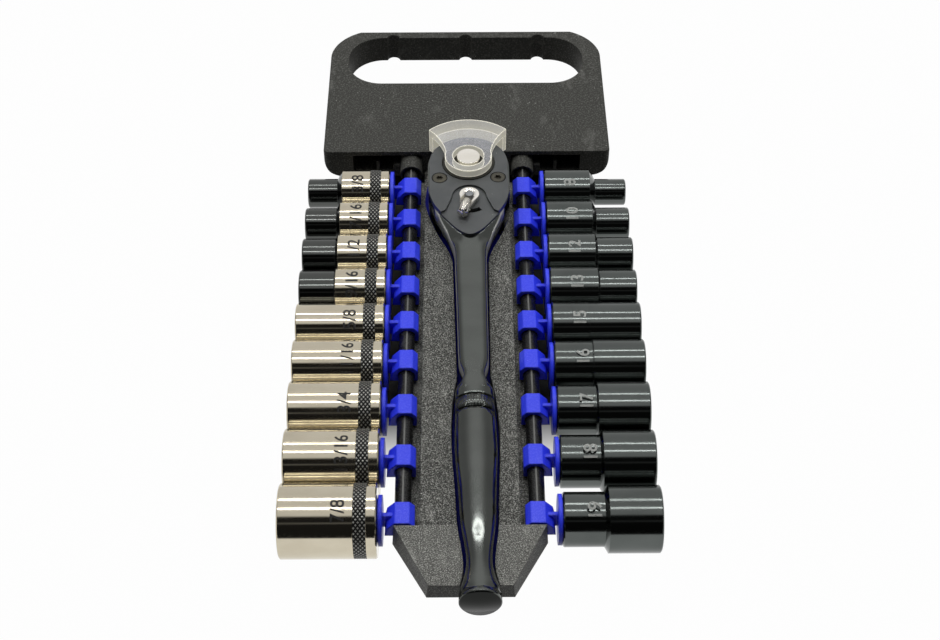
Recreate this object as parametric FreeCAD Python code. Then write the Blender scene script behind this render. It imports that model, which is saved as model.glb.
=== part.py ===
import FreeCAD, Part
import math
import os
from FreeCAD import Vector

# Socket wrench set on an open hanging rack, in millimetres.
# Working frame: X to the right, Y from the pommel towards the carrying handle, Z up, with the
# front pair of sockets on Y = 0 and Z = 0. Finished pieces are moved so that the origin lies
# on the floor under the middle of the whole set.

# Sockets
inch = 25.4
left_hex = [inch * sixteenths / 16 for sixteenths in range(6, 15)]
right_hex = [8.0, 10.0, 12.0, 13.0, 15.0, 16.0, 17.0, 18.0, 19.0]
socket_length = 38.0
socket_gap = 0.3            # daylight between neighbours in a row
left_drive_od = 21.5        # least diameter of the drive end, left row
right_drive_od = 21.4
left_wall = 1.3             # wall at the hex corners of the smallest left socket
left_wall_growth = 0.05     # extra wall for each millimetre of hex size
right_wall = 1.6
right_wall_growth = 0.07
left_step_at = 22.0         # length of the drive end on stepped sockets
right_step_at = 21.0
right_large_step_at = 16.0
step_slope = 0.6            # length of the shoulder for each millimetre of radius
socket_chamfer = 0.5
hex_depth = 14.0
mouth_lead = 0.2            # lead-in beyond the hex corners
drive_square = 12.7
drive_hole_clear = 0.2      # how much wider the square hole is than the square
drive_depth = 13.0
bore_step = 1.0             # ledge between the bore and the hex or the square
band_start = 4.0            # gripping band of the left row, from the drive end
band_width = 5.0
band_depth = 0.3

# Clips and rails
rail_x = 26.25
rail_radius = 3.3
rail_web = 2.4
clip_clear = 0.3            # between the clip and the rail
clip_half_width = 4.8
clip_top = 5.0
clip_flat_half = 2.8
clip_shoulder = 2.6         # height where the clip's bevels start
clip_lip = 2.8              # how far the clip's lips reach below the rail's axis
clip_length = 10.4
clip_neck = 2.9             # from the clip's side to its plate
clip_fairing_x = 6.0        # where the clip's outer side turns down to its foot
clip_fairing_z = 1.4
clip_foot = 6.9             # reach of the clip's outer foot
clip_web = 1.8
clip_web_top = 3.9
plate_radius = 10.0
plate_thickness = 1.6
stub_side = 12.2
stub_length = 11.5
stub_chamfer = 1.0
seat_gap = 0.3              # between pieces that rest on each other but come apart

# Rack
rack_half = 7.5             # half of the rack's thickness
deck_floor = 2.5
panel_half = 19.45
panel_top = 3.3
panel_gap = 0.2
recess_floor = 1.2          # panel left under the wrench recess
recess_clear = 1.1          # between the wrench and its recess
liner_thickness = 1.0
ledge_overhang = 1.2        # ledge beyond the rail's axis
front_gap = 0.5             # front block behind the first clip
front_length = 28.0
front_rear_half = 29.5
front_nose_half = 16.0
front_top = 4.5
front_draft = 3.0           # how far the front leans back at its foot
side_draft = 0.8

# Carrying handle
block_slack = 10.1          # from the last sockets to the handle block
block_width = 136.0
block_depth = 98.0
block_corner = 24.0
block_front_corner = 3.0
block_foot_radius = 9.0
block_edge = 1.2
far_foot_radius = 3.5
far_edge = 2.0
crease_at = 48.5            # from the block's front to the line where the grip part starts
crease_drop = 1.0
slot_width = 117.5
slot_depth = 38.5
slot_corner = 17.0
grip_bar = 7.0
notch_radius = 3.3          # finger notches in the slot's far wall
notch_pitch = 37.0
notch_depth = 2.6
skin = 2.2                  # walls round the block's front hollow
hollow_depth = 22.0
hollow_outer = 54.0
hollow_step_at = 35.0       # the hollow's floor is higher inside this
hollow_step = 4.5
rib_at = 41.5
rib_width = 1.6
rib_height = 6.0
boss_radius = 5.2
boss_reach = 8.0            # boss in front of the block
boss_mouth_depth = 3.5
boss_mouth_wall = 0.9
rail_plug = 14.0            # rail inside the boss
rail_plug_clear = 0.1
tongue_length = 19.0        # deck inside the block
tongue_half = 20.0
head_notch_clear = 1.2

# Ratchet wrench, measured from the gear's axis towards the pommel
gear_x = 0.7
gear_before_block = 17.9
wrench_skew = 0.67          # the wrench lies this many degrees off the rack's middle line
head_radius = 18.8
head_side = 17.0            # length of the head's straight sides
head_side_half = 18.6
neck_stations = [(28.7, 15.6), (37.0, 12.6), (44.3, 9.3), (53.0, 6.9)]
head_height = 18.5
head_well = 14.0            # the panel is cut right across from here
cover_thickness = 2.4
cover_inset = 0.7
cover_stations = [(25.8, 16.8), (33.3, 13.1), (39.3, 9.0), (44.6, 4.6)]
cover_tip = 47.0
step_back = 1.2             # body beyond the cover's tip
neck_rise_from = 22.0       # where the underside starts to rise to the shank
neck_rise_to = 51.0
grip_height = 9.5           # grip axis above the head's underside
shank_half_height = 5.0
shank_side_half = 1.8
shank_bevel = 2.6
shank_from = 43.0
shank_from_half = 7.8
shank_to = 122.5
shank_to_half = 6.0
collar_overlap = 6.0
collar_at = 127.0
collar_half = (4.45, 3.9)
grip_stations = [(2.2, 5.8, 4.4), (5.5, 7.6, 5.0), (10.0, 8.0, 5.3), (38.0, 8.5, 5.7), (57.0, 7.5, 5.4),
                 (76.6, 6.45, 5.0), (93.0, 5.05, 4.7), (102.0, 6.9, 6.7), (108.0, 8.05, 8.0)]
pommel_radius = 8.1
pommel_band = 2.2
pommel_chamfer = 0.7
groove_first = 11.5         # grooves from the collar
groove_pitch = 7.0
groove_width = 0.8
groove_depth = 0.45
screw_x = 13.4
screw_y = 10.4
screw_head_radius = 3.2
screw_radius = 1.6
screw_length = 9.0
screw_head_height = 1.6
screw_star_radius = 1.7
screw_star_waist = 1.15
screw_star_depth = 1.1
screw_clear = 0.05

# Ratchet works
tooth_count = 72
gear_tip_radius = 12.6
tooth_depth = 0.75
mesh_clear = 0.15
gear_pocket_clear = 0.25
gear_floor = 4.5            # head wall under the gear
end_play = 0.1
journal_radius = 9.5
running_clear = 0.05
hub_radius = 12.0
hub_clear = 0.2
hub_proud = 0.3
anvil_length = 12.0
anvil_chamfer = 0.9
button_radius = 5.3
button_clear = 0.1
button_proud = 3.7
button_height = 5.4
button_travel = 3.0
button_bore_depth = 10.5
rod_radius = 2.2
rod_neck_radius = 1.3
rod_past_ball = 1.6
ball_radius = 2.4
ball_proud = 0.7
ball_above_tip = 5.5
ball_clear = 0.05
spring_wall = 1.2
pawl_pivot = 16.2
pawl_pin_radius = 1.6
pawl_pin_depth = 2.0
pawl_swing = 6.0
pawl_half = 9.0
pawl_shoulder = 13.0
pawl_back = 19.8
pawl_back_half = 4.5
pawl_notch = 19.0
pawl_clear = 0.3
pawl_pocket_half = 10.6
pawl_pocket_from = 5.0
pawl_pocket_to = 21.5
works_floor = 6.5           # head wall under the pawl and the selector
selector_at = 23.2
selector_swing = 14.3
selector_radius = 3.0
selector_pocket = 5.0
lever_radius = 4.45
lever_lift = 0.2
lever_thickness = 2.4
tab_radius = 2.35
tab_from = 3.0
tab_to = 13.4
lug_at = 8.7
lug_radius = 0.9
slit_clear = 0.3
slit_swing = 34.0
recess_depth = 1.1
recess_round = 7.8          # round end of the recess about the lever's pivot
recess_side = 32.0
recess_side_half = 10.9
recess_flare = 1.5          # how the recess widens below its sides
lever_pin_radius = 1.75
lever_pin_proud = 0.3
plunger_radius = 1.3
plunger_reach = 3.8
plunger_from = 0.6
plunger_spring_from = -1.8

# Clear retainer over the wrench head
retainer_ring_radius = 10.85
retainer_bore_radius = 7.1
retainer_thickness = 3.7
retainer_arc_radius = 26.0
retainer_half_angle = 44.0
retainer_skirt = 2.2
retainer_waist = (10.4, 3.0)
retainer_bend = (12.1, 9.2)

# Heights and places that follow from the sizes above
x_axis = Vector(1, 0, 0)
y_axis = Vector(0, 1, 0)
z_axis = Vector(0, 0, 1)
origin = Vector(0, 0, 0)
hex_corner = 1 / math.cos(math.pi / 6)
row_count = len(left_hex)


def nose_diameter(hex_size, wall, growth):
    return hex_size * hex_corner + 2 * (wall + growth * (hex_size - left_hex[0]))


left_nose = [nose_diameter(size, left_wall, left_wall_growth) for size in left_hex]
right_nose = [nose_diameter(size, right_wall, right_wall_growth) for size in right_hex]
left_od = [max(left_drive_od, nose) for nose in left_nose]
pair_od = [max(left, right, right_drive_od) for left, right in zip(left_od, right_nose)]

row_y = [0.0] * row_count
for place in reversed(range(row_count - 1)):
    row_y[place] = row_y[place + 1] + (pair_od[place] + pair_od[place + 1]) / 2 + socket_gap

plate_x = rail_x + clip_half_width + clip_neck
drive_face_x = plate_x + plate_thickness + seat_gap
floor_top = deck_floor - rack_half
recess_z = floor_top + recess_floor
liner_top = recess_z + liner_thickness
ledge_half = rail_x + ledge_overhang
front_rear_y = -clip_length / 2 - front_gap
block_front = row_y[0] + pair_od[0] / 2 + block_slack
block_far = block_front + block_depth
boss_front = block_front - boss_reach
deck_end = block_front + tongue_length
gear_y = block_front - gear_before_block

head_z = liner_top + seat_gap
cover_top = head_z + head_height
body_top = cover_top - cover_thickness
grip_z = head_z + grip_height
gear_z = head_z + gear_floor
works_z = head_z + works_floor
recess_top = cover_top - recess_depth
hub_top = cover_top + hub_proud
button_top = hub_top + button_proud
anvil_z = head_z - anvil_length
ball_z = anvil_z + ball_above_tip
ball_y = drive_square / 2 + ball_proud - ball_radius
lever_z = recess_top + lever_lift
lever_top = lever_z + lever_thickness
grip_length = grip_stations[-1][0] + pommel_band
pommel_end = collar_at + grip_length
retainer_top = hub_top + seat_gap + retainer_thickness

floor_z = -pair_od[-1] / 2
skew = math.radians(wrench_skew)
pommel_y = gear_y - pommel_end * math.cos(skew) - pommel_radius * math.sin(skew)
middle_y = (block_far + pommel_y) / 2
to_part_frame = Vector(0, -middle_y, -floor_z)


def box(x0, x1, y0, y1, z0, z1):
    return Part.makeBox(x1 - x0, y1 - y0, z1 - z0, Vector(x0, y0, z0))


def rod(radius, start, length, direction):
    return Part.makeCylinder(radius, length, start, direction)


def prism(points, z0, z1):
    """Upright prism on a closed outline of (x, y) points."""
    corners = [Vector(x, y, z0) for x, y in points]
    return Part.Face(Part.makePolygon(corners + corners[:1])).extrude(Vector(0, 0, z1 - z0))


def side_prism(points, x0, x1):
    """Prism along X on a closed outline of (y, z) points."""
    corners = [Vector(x0, y, z) for y, z in points]
    return Part.Face(Part.makePolygon(corners + corners[:1])).extrude(Vector(x1 - x0, 0, 0))


def turned(points, axis):
    """Solid of revolution about an axis through the origin, from (along, radius) points."""
    across = z_axis if axis.z == 0 else x_axis
    corners = [axis * along + across * radius for along, radius in points]
    return Part.Face(Part.makePolygon(corners + corners[:1])).revolve(origin, axis, 360)


def smooth(points):
    curve = Part.BSplineCurve()
    curve.interpolate(points)
    return curve.toShape()


def flipped(points):
    return [(-x, y) for x, y in reversed(points)]


def rounded_face(x0, x1, y0, y1, near_radius, far_radius, to_space):
    """Rectangle with one radius on its two near corners and one on its far corners."""
    def arc(cx, cy, radius, start):
        angles = [math.radians(start + part) for part in (0, 45, 90)]
        return [to_space(cx + radius * math.cos(a), cy + radius * math.sin(a)) for a in angles]
    arcs = [arc(x1 - near_radius, y0 + near_radius, near_radius, 270),
            arc(x1 - far_radius, y1 - far_radius, far_radius, 0),
            arc(x0 + far_radius, y1 - far_radius, far_radius, 90),
            arc(x0 + near_radius, y0 + near_radius, near_radius, 180)]
    edges = []
    for place, points in enumerate(arcs):
        edges.append(Part.Arc(*points).toShape())
        edges.append(Part.LineSegment(points[2], arcs[(place + 1) % len(arcs)][0]).toShape())
    return Part.Face(Part.Wire(edges))


def on_plan(x, y):
    return Vector(x, y, 0)


def across_rack(x, z):
    return Vector(x, 0, z)


def end_edges(shape, x):
    """Edges of a shape that lie in the plane at x."""
    return [edge for edge in shape.Edges if all(abs(v.X - x) < 1e-6 for v in edge.Vertexes)]


def both_sides(shape):
    return [shape, shape.mirror(origin, x_axis)]


def save(name, shape):
    """Write one piece in the part's own frame."""
    piece = shape.copy()
    piece.translate(to_part_frame)
    piece.exportStep("parts/" + name + ".step")


# Sockets
def socket(hex_size, drive_od, nose_od, step_at, banded):
    """Socket on the X axis with its drive end at the origin."""
    drive_r = drive_od / 2
    nose_r = nose_od / 2
    profile = [(0, 0), (0, drive_r - socket_chamfer), (socket_chamfer, drive_r)]
    if banded:
        band_end = band_start + band_width
        profile += [(band_start, drive_r), (band_start, drive_r - band_depth),
                    (band_end, drive_r - band_depth), (band_end, drive_r)]
    if abs(nose_r - drive_r) > 1e-6:
        profile += [(step_at, drive_r), (step_at + abs(drive_r - nose_r) * step_slope, nose_r)]
    profile += [(socket_length - socket_chamfer, nose_r),
                (socket_length, nose_r - socket_chamfer), (socket_length, 0)]
    body = turned(profile, x_axis)

    hex_r = hex_size * hex_corner / 2
    turns = [math.radians(60 * side) for side in range(6)]
    hex_points = [Vector(socket_length - hex_depth, hex_r * math.cos(a), hex_r * math.sin(a))
                  for a in turns]
    hex_hole = Part.Face(Part.makePolygon(hex_points + hex_points[:1])).extrude(x_axis * hex_depth)
    mouth_r = hex_r + mouth_lead
    lead_length = mouth_r - hex_size / 2
    lead = Part.makeCone(hex_size / 2, mouth_r, lead_length,
                         Vector(socket_length - lead_length, 0, 0), x_axis)
    bore = rod(min(hex_size, drive_square) / 2 - bore_step, origin, socket_length, x_axis)
    square = (drive_square + drive_hole_clear) / 2
    drive_hole = box(0, drive_depth, -square, square, -square, square)
    return body.cut(hex_hole.fuse([lead, bore, drive_hole]))


def left_socket(place):
    shape = socket(left_hex[place], left_od[place], left_nose[place], left_step_at, True)
    shape.rotate(origin, z_axis, 180)
    shape.translate(Vector(-drive_face_x, row_y[place], 0))
    return shape


def right_socket(place):
    small = right_nose[place] < right_drive_od - 2 * socket_chamfer
    step_at = right_step_at if small else right_large_step_at
    shape = socket(right_hex[place], right_drive_od, right_nose[place], step_at, False)
    shape.translate(Vector(drive_face_x, row_y[place], 0))
    return shape


# Sliding clips
def clip():
    """Clip for the right rail, with the rail on the Y axis."""
    outline = [(-clip_half_width, -clip_lip), (-clip_half_width, clip_shoulder),
               (-clip_flat_half, clip_top), (clip_flat_half, clip_top),
               (clip_fairing_x, clip_fairing_z), (clip_foot, -clip_lip)]
    corners = [Vector(x, -clip_length / 2, z) for x, z in outline]
    saddle = Part.Face(Part.makePolygon(corners + corners[:1])).extrude(y_axis * clip_length)
    plate_in = clip_half_width + clip_neck
    plate_out = plate_in + plate_thickness
    web = box(clip_flat_half, plate_in, -clip_web / 2, clip_web / 2, -clip_lip, clip_web_top)
    plate = rod(plate_radius, Vector(plate_in, 0, 0), plate_thickness, x_axis)
    half = stub_side / 2
    stub = box(plate_out, plate_out + stub_length, -half, half, -half, half)
    stub = stub.makeChamfer(stub_chamfer, end_edges(stub, plate_out + stub_length))
    rail_room = rod(rail_radius + clip_clear, Vector(0, -clip_length, 0), 2 * clip_length, y_axis)
    return saddle.fuse([web, plate, stub]).cut(rail_room).removeSplitter()


def placed_clip(place, side):
    shape = clip()
    if side < 0:
        shape.rotate(origin, z_axis, 180)
    shape.translate(Vector(side * rail_x, row_y[place], 0))
    return shape


# Rails
def rail(side):
    """Round rail on a web that stands on the deck's ledge, with its far end in the boss."""
    x = side * rail_x
    bulb = rod(rail_radius, Vector(x, front_rear_y, 0), boss_front + rail_plug - front_rear_y, y_axis)
    web = box(x - rail_web / 2, x + rail_web / 2, front_rear_y, boss_front - seat_gap, floor_top, 0)
    return bulb.fuse(web).removeSplitter()


# The wrench's recess
def recess_prism(clear, z0, z1):
    """Upright prism on the wrench's outline in plan, widened by a clearance."""
    head = [(0, head_radius), (head_side, head_side_half)] + neck_stations
    grip_side = [(shank_to, shank_to_half)]
    grip_side += [(collar_at + along, half) for along, half, high in grip_stations[2:]]
    grip_side.append((pommel_end + clear, pommel_radius))
    edges = []
    ends = []
    for side in (-1, 1):
        upper = [Vector(side * (half + clear), -along, z0) for along, half in head]
        lower = [Vector(side * (half + clear), -along, z0) for along, half in grip_side]
        edges += [smooth(upper), Part.LineSegment(upper[-1], lower[0]).toShape(), smooth(lower)]
        ends.append((upper[0], lower[-1]))
    edges.append(Part.LineSegment(ends[0][1], ends[1][1]).toShape())
    edges.append(Part.Arc(ends[0][0], Vector(0, head_radius + clear, z0), ends[1][0]).toShape())
    wire = Part.Wire(Part.sortEdges(edges)[0])
    return on_wrench(Part.Face(wire).extrude(Vector(0, 0, z1 - z0)))


def on_wrench(shape):
    """Move a shape from the wrench's own frame to its place on the rack."""
    shape.rotate(origin, z_axis, wrench_skew)
    shape.translate(Vector(gear_x, gear_y, 0))
    return shape


def anvil_hole(z0, z1):
    radius = drive_square / math.sqrt(2) + recess_clear
    return rod(radius, Vector(gear_x, gear_y, z0), z1 - z0, z_axis)


# Rack pieces
def front_block():
    """Tapered front of the deck, leaning back towards its foot."""
    front_y = front_rear_y - front_length
    def outline(z, nose_y, spread):
        points = [(front_rear_half + spread, front_rear_y), (front_nose_half + spread, nose_y)]
        corners = [Vector(x, y, z) for x, y in points + flipped(points)]
        return Part.makePolygon(corners + corners[:1])
    foot = outline(-rack_half, front_y + front_draft, side_draft)
    top = outline(front_top, front_y, 0)
    return Part.makeLoft([foot, top], True, True)


def deck():
    floor = box(-ledge_half, ledge_half, front_rear_y, boss_front, -rack_half, floor_top)
    tongue = box(-tongue_half, tongue_half, boss_front, deck_end, -rack_half, floor_top)
    block = front_block().cut(recess_prism(recess_clear, recess_z, cover_top))
    return floor.fuse([tongue, block]).cut(anvil_hole(-rack_half, floor_top)).removeSplitter()


def panel_insert():
    near = front_rear_y + panel_gap
    far = block_front - panel_gap
    panel = box(-panel_half, panel_half, near, far, floor_top, panel_top)
    well = box(-panel_half, panel_half, gear_y - head_well, far, recess_z, panel_top)
    panel = panel.cut([recess_prism(recess_clear, recess_z, cover_top), well])
    return panel.cut(anvil_hole(floor_top, recess_z)).removeSplitter()


def blue_liner():
    sheet = recess_prism(recess_clear - panel_gap, recess_z, liner_top)
    front_y = front_rear_y - front_length
    span = box(-panel_half, panel_half, front_y, block_front - panel_gap, recess_z, liner_top)
    return sheet.common(span).cut(anvil_hole(recess_z, liner_top))


def handle_block():
    half = block_width / 2
    plan = rounded_face(-half, half, block_front, block_far, block_front_corner, block_corner, on_plan)
    plan.translate(Vector(0, 0, -rack_half))
    section = rounded_face(-half, half, -rack_half, rack_half, block_foot_radius, block_edge, across_rack)
    section.translate(Vector(0, block_front, 0))
    crease_y = block_front + crease_at
    side = [(block_front, -rack_half), (block_far - far_foot_radius, -rack_half),
            (block_far, far_foot_radius - rack_half), (block_far, rack_half - crease_drop - far_edge),
            (block_far - far_edge, rack_half - crease_drop), (crease_y, rack_half), (block_front, rack_half)]
    shape = plan.extrude(Vector(0, 0, 2 * rack_half))
    shape = shape.common(section.extrude(Vector(0, block_depth, 0)))
    shape = shape.common(side_prism(side, -half, half))

    slot_far = block_far - grip_bar
    slot = rounded_face(-slot_width / 2, slot_width / 2, slot_far - slot_depth, slot_far,
                        slot_corner, slot_corner, on_plan)
    slot.translate(Vector(0, 0, -rack_half))
    cuts = [slot.extrude(Vector(0, 0, 2 * rack_half))]
    for step in (-1, 0, 1):
        notch_y = slot_far + notch_depth - notch_radius
        cuts.append(rod(notch_radius, Vector(step * notch_pitch, notch_y, -rack_half), 2 * rack_half, z_axis))

    hollow_back = block_front + hollow_depth
    inner = rail_x - boss_radius
    upper = [(inner, block_front), (hollow_outer, block_front),
             (hollow_outer, hollow_back), (inner, hollow_back)]
    lower = [(hollow_step_at, block_front), (hollow_outer, block_front),
             (hollow_outer, hollow_back), (hollow_step_at, hollow_back)]
    for hollow in (prism(upper, hollow_step - rack_half + skin, rack_half - skin),
                   prism(lower, skin - rack_half, rack_half - skin)):
        cuts += both_sides(hollow)
    shape = shape.cut(Part.makeCompound(cuts))

    rib = box(rib_at, rib_at + rib_width, block_front + block_edge, hollow_back,
              skin - rack_half, skin - rack_half + rib_height)
    boss = rod(boss_radius, Vector(rail_x, boss_front, 0), hollow_back - boss_front, y_axis)
    shape = shape.fuse(both_sides(rib) + both_sides(boss))

    bore = rod(rail_radius + rail_plug_clear, Vector(rail_x, boss_front, 0), rail_plug, y_axis)
    mouth = rod(boss_radius - boss_mouth_wall, Vector(rail_x, boss_front, 0), boss_mouth_depth, y_axis)
    under = box(rail_x - boss_radius, rail_x + boss_radius, boss_front, block_front, -boss_radius, -rail_web)
    openings = both_sides(bore) + both_sides(mouth) + both_sides(under)
    openings.append(box(-tongue_half, tongue_half, block_front, deck_end, -rack_half, floor_top))
    openings.append(box(-inner, inner, block_front - boss_reach, block_front, -rack_half, rack_half))
    openings.append(rod(head_radius + head_notch_clear, Vector(gear_x, gear_y, floor_top),
                        2 * rack_half, z_axis))
    return shape.cut(Part.makeCompound(openings)).removeSplitter()


# Wrench body
def head_outline(inset, stations, end, z):
    """Closed outline of the wrench head, drawn in by an inset on its round side."""
    right = [Vector(head_side_half - inset, -head_side, z)]
    right += [Vector(half, -along, z) for along, half in stations]
    left = [Vector(-point.x, point.y, point.z) for point in reversed(right)]
    shoulder = Vector(head_radius - inset, 0, z)
    far = Part.Arc(Vector(-shoulder.x, 0, z), Vector(0, shoulder.x, z), shoulder).toShape()
    right_side = Part.LineSegment(shoulder, right[0]).toShape()
    left_side = Part.LineSegment(left[-1], Vector(-shoulder.x, 0, z)).toShape()
    if end is None:
        foot = Part.LineSegment(right[-1], left[0]).toShape()
        lower = [smooth(right), foot, smooth(left)]
    else:
        lower = [smooth(right + [Vector(0, -end, z)] + left)]
    return Part.Face(Part.Wire([right_side] + lower + [left_side, far]))


def shank_section(along, half):
    high = shank_half_height
    low = shank_side_half
    flat = half - shank_bevel
    points = [(half, low), (flat, high), (-flat, high), (-half, low),
              (-half, -low), (-flat, -high), (flat, -high), (half, -low)]
    corners = [Vector(x, -along, grip_z + z) for x, z in points]
    return Part.makePolygon(corners + corners[:1])


def oval(along, half, high):
    """Oval outline across the grip's axis."""
    ring = Part.Edge(Part.Ellipse(origin, max(half, high + 1e-4), high))
    ring.rotate(origin, x_axis, 90)
    ring.translate(Vector(0, -along, grip_z))
    return Part.Wire(ring)


def grip():
    """Oval grip with its swell and waist, ending in a round pommel."""
    rings = [oval(collar_at - collar_overlap, *collar_half), oval(collar_at, *collar_half)]
    rings += [oval(collar_at + along, half, high) for along, half, high in grip_stations]
    body = Part.makeLoft(rings, True, False)
    rim = collar_at + grip_stations[-1][0]
    band = pommel_band - pommel_chamfer
    pommel = rod(pommel_radius, Vector(0, -rim, grip_z), band, -y_axis)
    edge = Part.makeCone(pommel_radius, pommel_radius - pommel_chamfer, pommel_chamfer,
                         Vector(0, -rim - band, grip_z), -y_axis)
    shape = body.fuse([pommel, edge])
    for step in range(2):
        along = collar_at + groove_first + step * groove_pitch
        half, high = grip_stations[2][1:]
        core = Part.Face(oval(along, half - groove_depth, high - groove_depth))
        slab = box(-head_radius, head_radius, -along - groove_width, -along, 0, 2 * grip_z)
        shape = shape.cut(slab.cut(core.extrude(-y_axis * groove_width)))
    return shape


def works_pocket():
    """Hollow for the gear, the pawl and the selector."""
    gear_room = rod(gear_tip_radius + gear_pocket_clear, Vector(0, 0, gear_z), body_top - gear_z, z_axis)
    pawl_room = box(-pawl_pocket_half, pawl_pocket_half, -pawl_pocket_to, -pawl_pocket_from,
                    works_z, body_top)
    selector_room = rod(selector_pocket, Vector(0, -selector_at, works_z), body_top - works_z, z_axis)
    journal = rod(journal_radius + running_clear, Vector(0, 0, head_z), gear_floor, z_axis)
    pin_hole = rod(pawl_pin_radius, Vector(0, -pawl_pivot, works_z - pawl_pin_depth), pawl_pin_depth, z_axis)
    return [gear_room, pawl_room, selector_room, journal, pin_hole]


def screw_holes():
    z = cover_top - screw_length
    return [rod(screw_radius + screw_clear, Vector(side * screw_x, -screw_y, z), screw_length, z_axis)
            for side in (-1, 1)]


def ratchet_handle():
    head = head_outline(0, neck_stations, None, head_z).extrude(Vector(0, 0, head_height))
    step_at = cover_tip + step_back
    neck_end = neck_stations[-1][0]
    side = [(head_radius, head_z), (-neck_rise_from, head_z),
            (-neck_rise_to, grip_z - shank_side_half), (-neck_end, grip_z - shank_side_half),
            (-neck_end, grip_z + shank_side_half), (-step_at, grip_z + shank_half_height - step_back),
            (-step_at, body_top), (head_radius, body_top)]
    head = head.common(side_prism(side, -head_radius, head_radius))
    middle = neck_stations[-1]
    sections = [shank_section(shank_from, shank_from_half),
                shank_section(middle[0], middle[1] + running_clear),
                shank_section(shank_to, shank_to_half)]
    shank = Part.makeLoft(sections, True, True)
    shape = head.fuse([shank, grip()])
    return on_wrench(shape.cut(works_pocket() + screw_holes()).removeSplitter())


def head_cover():
    plate = head_outline(cover_inset, cover_stations, cover_tip, body_top).extrude(
        Vector(0, 0, cover_thickness))
    foot = recess_side_half + (cover_tip - recess_side) * recess_flare
    recess = [(recess_round, -selector_at), (recess_side_half, -recess_side), (foot, -cover_tip)]
    cuts = [prism(recess + flipped(recess), recess_top, cover_top),
            rod(recess_round, Vector(0, -selector_at, recess_top), recess_depth, z_axis),
            rod(hub_radius + hub_clear, Vector(0, 0, body_top), cover_thickness, z_axis),
            rod(selector_radius + running_clear, Vector(0, -selector_at, body_top), cover_thickness, z_axis)]
    slit_half = lug_radius + slit_clear
    ring = rod(lug_at + slit_half, Vector(0, 0, body_top), cover_thickness, z_axis)
    ring = ring.cut(rod(lug_at - slit_half, Vector(0, 0, body_top), cover_thickness, z_axis))
    reach = 2 * lug_at
    edge = reach * math.tan(math.radians(slit_swing))
    slit = ring.common(prism([(0, 0), (edge, -reach), (-edge, -reach)], body_top, cover_top))
    slit.translate(Vector(0, -selector_at, 0))
    plate = plate.cut(cuts + [slit] + screw_holes())
    for side in (-1, 1):
        sink = Part.makeCone(screw_radius + screw_clear, screw_head_radius + screw_clear, screw_head_height,
                             Vector(side * screw_x, -screw_y, cover_top - screw_head_height), z_axis)
        plate = plate.cut(sink)
    return on_wrench(plate.removeSplitter())


def cover_screws():
    screws = []
    star = []
    for point in range(12):
        radius = screw_star_radius if point % 2 == 0 else screw_star_waist
        angle = math.radians(30 * point)
        star.append((radius * math.cos(angle), radius * math.sin(angle)))
    for side in (-1, 1):
        top = Vector(side * screw_x, -screw_y, cover_top)
        shank = rod(screw_radius, top - z_axis * screw_length, screw_length, z_axis)
        head = Part.makeCone(screw_radius, screw_head_radius, screw_head_height,
                             top - z_axis * screw_head_height, z_axis)
        drive = prism(star, -screw_star_depth, 0)
        drive.translate(top)
        screws.append(on_wrench(shank.fuse(head).cut(drive).removeSplitter()))
    return Part.makeCompound(screws)


# Ratchet works
def gear_points(widen):
    """Pointed teeth with a tip on the wrench's middle line, widened by a clearance."""
    tip = gear_tip_radius + widen
    root = tip - tooth_depth
    half_pitch = math.pi / tooth_count
    points = []
    for step in range(2 * tooth_count):
        radius = tip if step % 2 == 0 else root
        angle = step * half_pitch - math.pi / 2
        points.append((radius * math.cos(angle), radius * math.sin(angle)))
    return points


def drive_gear():
    gear = prism(gear_points(0), gear_z + end_play, body_top - end_play)
    journal = rod(journal_radius, Vector(0, 0, head_z), gear_floor + 2 * end_play, z_axis)
    hub = rod(hub_radius, Vector(0, 0, body_top - 2 * end_play), hub_top - body_top + 2 * end_play, z_axis)
    half = drive_square / 2
    cut = half - anvil_chamfer
    corners = [(half, cut), (cut, half), (-cut, half), (-half, cut),
               (-half, -cut), (-cut, -half), (cut, -half), (half, -cut)]
    anvil = prism(corners, anvil_z, head_z + end_play)
    bore = rod(button_radius + button_clear, Vector(0, 0, hub_top - button_bore_depth),
               button_bore_depth, z_axis)
    rod_foot = ball_z - rod_past_ball - button_travel - end_play
    rod_bore = rod(rod_radius + button_clear, Vector(0, 0, rod_foot), hub_top - rod_foot, z_axis)
    ball_hole = rod(ball_radius + ball_clear, Vector(0, 0, ball_z), half, y_axis)
    shape = gear.fuse([journal, hub, anvil]).cut([bore, rod_bore, ball_hole])
    return on_wrench(shape.removeSplitter())


def release_button():
    foot = ball_z - rod_past_ball
    neck_low = ball_z + ball_radius
    neck_high = neck_low + 2 * ball_radius
    button_low = button_top - button_height
    profile = [(foot, 0), (foot, rod_radius), (neck_low, rod_radius),
               (neck_low + ball_radius / 2, rod_neck_radius), (neck_high, rod_neck_radius),
               (neck_high + ball_radius / 2, rod_radius), (button_low, rod_radius),
               (button_low, button_radius), (button_top - end_play, button_radius),
               (button_top, button_radius - end_play), (button_top, 0)]
    return on_wrench(turned(profile, z_axis))


def release_spring():
    low = hub_top - button_bore_depth
    high = button_top - button_height
    inner = rod_radius + button_clear
    sleeve = rod(inner + spring_wall, Vector(0, 0, low), high - low, z_axis)
    return on_wrench(sleeve.cut(rod(inner, Vector(0, 0, low), high - low, z_axis)))


def detent_ball():
    return on_wrench(Part.makeSphere(ball_radius, Vector(0, ball_y, ball_z)))


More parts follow.
